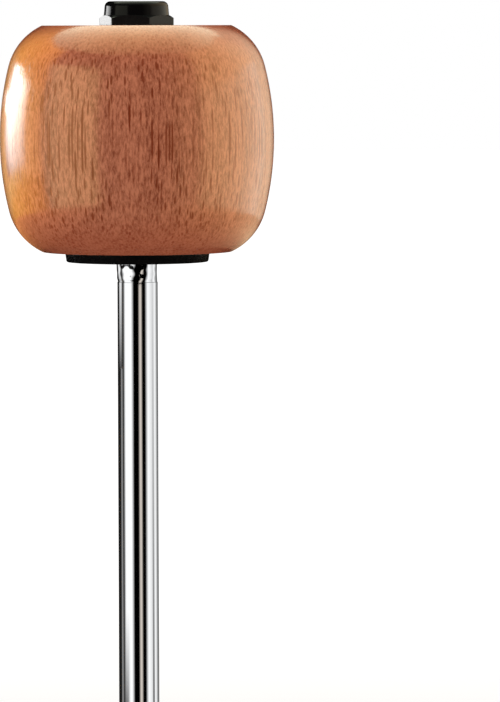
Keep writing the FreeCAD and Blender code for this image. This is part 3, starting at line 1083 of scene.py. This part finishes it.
def studio_room(ambient):
    """A room that looks white and gives an even light."""
    world = bpy.data.worlds.new("studio_room")
    bpy.context.scene.world = world
    world.use_nodes = True
    tree = world.node_tree
    tree.nodes.clear()
    white = add_node(tree, "ShaderNodeBackground", {"Color": opaque(WHITE), "Strength": 1})
    even = add_node(tree, "ShaderNodeBackground", {"Color": opaque(WHITE), "Strength": ambient})
    mix = add_node(
        tree, "ShaderNodeMixShader",
        {0: seen_directly(tree), 1: even.outputs["Background"], 2: white.outputs["Background"]},
    )
    add_node(tree, "ShaderNodeOutputWorld", {"Surface": mix.outputs["Shader"]})


def paper_floor(paper):
    """The floor of matt pale paper under the beater."""
    # Far from the lamps the paper glows up to white for the camera, and near them it keeps its shadows.
    material, tree = new_material("pale_paper_sweep")
    place = add_node(tree, "ShaderNodeTexCoord").outputs["Object"]
    far = add_node(tree, "ShaderNodeVectorMath", {0: place}, operation="LENGTH")
    glow = add_node(
        tree, "ShaderNodeMapRange",
        {"Value": far.outputs["Value"], "From Min": 0.25, "From Max": 0.9, "To Min": 0.25, "To Max": 0.8},
    )
    glow = add_node(
        tree, "ShaderNodeMath", {0: glow.outputs["Result"], 1: seen_directly(tree)}, operation="MULTIPLY"
    )
    shader = add_node(
        tree, "ShaderNodeBsdfPrincipled",
        {
            "Base Color": opaque(paper),
            "Roughness": 0.9,
            "Specular IOR Level": 0,
            "Emission Color": opaque(WHITE),
            "Emission Strength": glow.outputs["Value"],
        },
    )
    add_node(tree, "ShaderNodeOutputMaterial", {"Surface": shader.outputs["BSDF"]})
    shape = bmesh.new()
    bmesh.ops.create_circle(shape, cap_ends=True, radius=FLOOR_RADIUS, segments=FLOOR_SEGMENTS)
    mesh = bpy.data.meshes.new("paper_floor")
    shape.to_mesh(mesh)
    shape.free()
    mesh.materials.append(material)
    floor = bpy.data.objects.new("paper_floor", mesh)
    floor.location.z = CAD_BOX[0].z - FLOOR_GAP
    bpy.context.scene.collection.objects.link(floor)


def studio_lamps(stage):
    """Two soft lamps beside the beater and one above it."""
    aim = Vector((0, 0, sum(node_heights("beater_head")) / 2))
    place = toward(LEFT_LAMP_AZIMUTH, LAMP_DISTANCE, LAMP_HEIGHT)
    lamp("left_lamp", place, aim, LAMP_SIZE, stage.side_light)
    place = toward(RIGHT_LAMP_AZIMUTH, LAMP_DISTANCE, LAMP_HEIGHT)
    lamp("right_lamp", place, aim, LAMP_SIZE, stage.side_light, RIGHT_LAMP_TINT)
    lamp("top_lamp", aim + TOP_LAMP_PLACE, aim, TOP_LAMP_SIZE, stage.top_light, TOP_LAMP_TINT)


def black_pieces():
    """The black pieces, which amber cards leave out, because amber reflections would turn them brown."""
    group = bpy.data.collections.new("black_pieces")
    for name in ("lock_nut_plated", "top_washer_stamped", "support_washer_moulded"):
        group.objects.link(bpy.data.objects[name])
    for member in group.collection_objects:
        member.light_linking.link_state = "EXCLUDE"
    return group


def head_cards(left_out):
    """The cards that show in the head and the nut."""
    bent_card("left_board", LEFT_BOARD, BOARD_DISTANCE, LEFT_BOARD_LOW, LEFT_BOARD_HIGH, CREAM)
    shade = dark(LEFT_BOARD[0], LEFT_BOARD[-1])
    bent_card("left_shade", shade, BOARD_DISTANCE, LEFT_BOARD_HIGH, STUDIO_TOP)
    for name, stops, distance, foot_tint, tint, top_tint, group in (
        ("right_board", RIGHT_BOARD, BOARD_DISTANCE, WARM_WHITE, WARM_WHITE, HONEY, None),
        ("left_glow", LEFT_GLOW, GLOW_DISTANCE, DEEP_AMBER, AMBER, DEEP_AMBER, left_out),
    ):
        faded = [(azimuth, FLOOR_LEVEL_SHARE * glow, glow) for azimuth, glow in stops]
        bent_card(name + "_foot", faded, distance, 0, SIDE_LOW, foot_tint, group)
        bent_card(name, stops, distance, SIDE_LOW, SIDE_HIGH, tint, group)
        bent_card(name + "_top", stops, distance, SIDE_HIGH, STUDIO_TOP, top_tint, group)
    bent_card("rim_board", RIM_BOARD, RIM_DISTANCE, RIM_LOW, RIM_HIGH)
    nut_top = node_heights("lock_nut")[1]
    bent_card(
        "nut_board", NUT_BOARD, NUT_BOARD_DISTANCE, nut_top - NUT_BOARD_DROP, nut_top + NUT_BOARD_RISE
    )
    bent_card("back_board", BACK_BOARD, BACK_DISTANCE, 0, STUDIO_TOP, STRAW)
    bent_card("front_shade", dark(LEFT_BOARD[-1], RIGHT_BOARD[0]), BOARD_DISTANCE, 0, STUDIO_TOP)
    height = node_heights("beater_head")[1] + CEILING_RISE
    points = [Vector((x, y, height)) for y, along in CEILING_ALONG for x, across in CEILING_ACROSS]
    glow = [across * along for y, along in CEILING_ALONG for x, across in CEILING_ACROSS]
    reflection_card("top_board", points, len(CEILING_ACROSS), glow, CEILING_TINT)


def shaft_cards(under, lid):
    """The cards that show in the shaft, up to the lid, and a ring on the floor from their feet inwards."""
    beige_high = under - BEIGE_DROP
    bent_card("shaft_back_board", SHAFT_BACK, SHAFT_DISTANCE, 0, lid)
    bent_card("shaft_left_board", SHAFT_LEFT, SHAFT_DISTANCE, LEFT_FADE_HIGH, lid)
    bent_card("shaft_left_fade", SHAFT_LEFT_FADE, SHAFT_DISTANCE, LEFT_FADE_LOW, LEFT_FADE_HIGH)
    bent_card("shaft_left_foot", at_foot(SHAFT_LEFT_FADE), SHAFT_DISTANCE, 0, LEFT_FADE_LOW)
    bent_card("shaft_front_shade", dark(SHAFT_LEFT[-1], SHAFT_BEIGE[0]), SHAFT_DISTANCE, 0, lid)
    bent_card("shaft_beige_board", SHAFT_BEIGE, SHAFT_DISTANCE, 0, beige_high, BEIGE)
    bent_card("shaft_beige_shade", dark(SHAFT_BEIGE[0], SHAFT_BEIGE[-1]), SHAFT_DISTANCE, beige_high, lid)
    bent_card("shaft_right_board", SHAFT_RIGHT, SHAFT_DISTANCE, RIGHT_FOOT_HIGH, lid)
    bent_card("shaft_right_foot", at_foot(SHAFT_RIGHT), SHAFT_DISTANCE, 0, RIGHT_FOOT_HIGH)
    feet = SHAFT_BACK[:-1] + at_foot(SHAFT_LEFT_FADE) + SHAFT_BEIGE[:-1] + at_foot(SHAFT_RIGHT)
    bent_card(
        "shaft_foot_ring", feet, SHAFT_DISTANCE, FOOT_RING_LIFT, FOOT_RING_LIFT,
        foot_distance=FOOT_RING_INNER,
    )
    bent_card("shaft_glint", SHAFT_GLINT, GLINT_DISTANCE, GLINT_LOW, lid)


def under_cards(under, lid, left_out):
    """The cards that show in the head's lower shoulder, and a dark lid that keeps them off the shaft."""
    for name, (side, lean, glows, power, tint) in UNDER_CARDS.items():
        azimuths = [side * azimuth for azimuth in range(0, UNDER_SWEEP + 1, UNDER_STEP)]
        points = [toward(azimuth, distance, under) for distance in UNDER_RINGS for azimuth in azimuths]
        shares = [abs(math.sin(math.radians(azimuth + lean))) ** power for azimuth in azimuths]
        glow = [most * share for most in glows for share in shares]
        reflection_card(name, points, len(azimuths), glow, tint, left_out)
    bent_card("lid", LID, UNDER_RINGS[-1], under, lid, foot_distance=LID_INNER)


def photo_camera(stage):
    """The camera at the photo's viewing angle, level with the head's top face."""
    top = node_heights("beater_head")[1]
    camera = bpy.data.objects.new("camera", bpy.data.cameras.new("camera"))
    camera.data.lens = stage.lens
    camera.data.clip_end = VIEW_LIMIT
    camera.location = (0, -stage.camera_distance, top)
    aim = Vector((stage.aim_right, 0, top - stage.aim_down))
    camera.rotation_euler = (aim - camera.location).to_track_quat("-Z", "Y").to_euler()
    camera.rotation_euler.rotate_axis("Z", stage.roll)
    bpy.context.scene.collection.objects.link(camera)
    bpy.context.scene.camera = camera


class BEATER_OT_stage(bpy.types.Operator):
    """Set up the floor, the studio light and the camera"""
    bl_idname = "beater.stage"
    bl_label = "Studio stage"

    def execute(self, context):
        stage = context.scene.beater_stage
        context.scene.view_settings.view_transform = "Standard"
        studio_room(stage.ambient)
        paper_floor(stage.paper)
        studio_lamps(stage)
        left_out = black_pieces()
        under = node_heights("support_washer")[0]
        lid = under - LID_DROP
        head_cards(left_out)
        shaft_cards(under, lid)
        under_cards(under, lid, left_out)
        photo_camera(stage)
        return {"FINISHED"}


class VIEW3D_PT_beater(bpy.types.Panel):
    """The beater's sizes and colours, and the operators that build it"""
    bl_label = "Bass drum beater"
    bl_space_type = "VIEW_3D"
    bl_region_type = "UI"
    bl_category = "Beater"

    def draw(self, context):
        for operator, group in BUILD_ORDER:
            box = self.layout.box()
            box.operator(operator.bl_idname)
            settings = getattr(context.scene, group)
            for name in settings.__annotations__:
                box.prop(settings, name)


GROUPS = {
    "beater_head": HeadProperties,
    "beater_shaft": ShaftProperties,
    "beater_washers": WasherProperties,
    "beater_nut": NutProperties,
    "beater_stage": StageProperties,
}
BUILD_ORDER = (
    (BEATER_OT_head, "beater_head"),
    (BEATER_OT_shaft, "beater_shaft"),
    (BEATER_OT_washers, "beater_washers"),
    (BEATER_OT_lock_nut, "beater_nut"),
    (BEATER_OT_stage, "beater_stage"),
)
CLASSES = (*GROUPS.values(), *(operator for operator, group in BUILD_ORDER), VIEW3D_PT_beater)


def register():
    for item in CLASSES:
        bpy.utils.register_class(item)
    for name, group in GROUPS.items():
        setattr(bpy.types.Scene, name, PointerProperty(type=group))


def unregister():
    for name in GROUPS:
        delattr(bpy.types.Scene, name)
    for item in reversed(CLASSES):
        bpy.utils.unregister_class(item)


def main():
    register()
    bpy.ops.beater.head()
    bpy.ops.beater.shaft()
    bpy.ops.beater.washers()
    bpy.ops.beater.lock_nut()
    bpy.ops.beater.stage()


if __name__ == "__main__":
    main()
